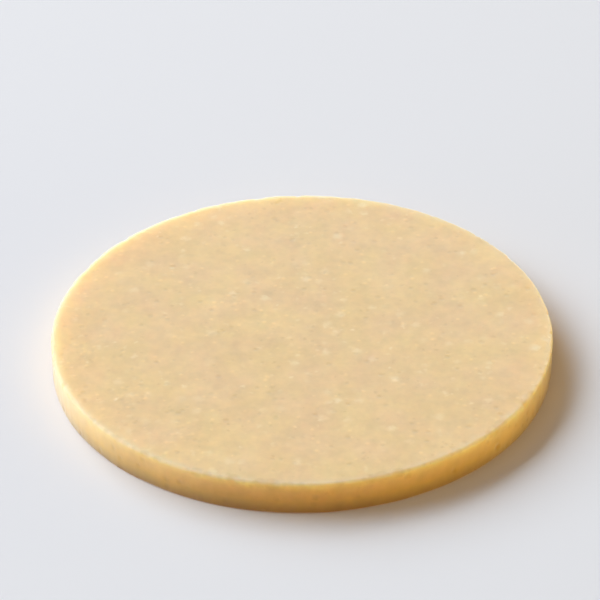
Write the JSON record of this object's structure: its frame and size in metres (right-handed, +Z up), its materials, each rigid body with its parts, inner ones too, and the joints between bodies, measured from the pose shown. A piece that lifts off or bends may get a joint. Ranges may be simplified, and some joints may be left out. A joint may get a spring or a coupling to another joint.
{
  "type": "shaving soap puck",
  "caption": "Flat round puck of hard shaving soap with a straight side wall and slightly worn edges; it drops into a bowl, tin or mug and is lathered on its top face.",
  "frame": {"origin": "centre of the base, which lies on the dish or plate", "axes": "+Z points up, along the disc's axis, from the base to the lathering face; X and Y lie in the base and are interchangeable on a round disc"},
  "size_m": [0.095, 0.095, 0.0067],
  "materials": {
    "soap": "satin"
  },
  "bodies": {
    "root": {"soap_puck": "soap"}
  },
  "joints": []
}
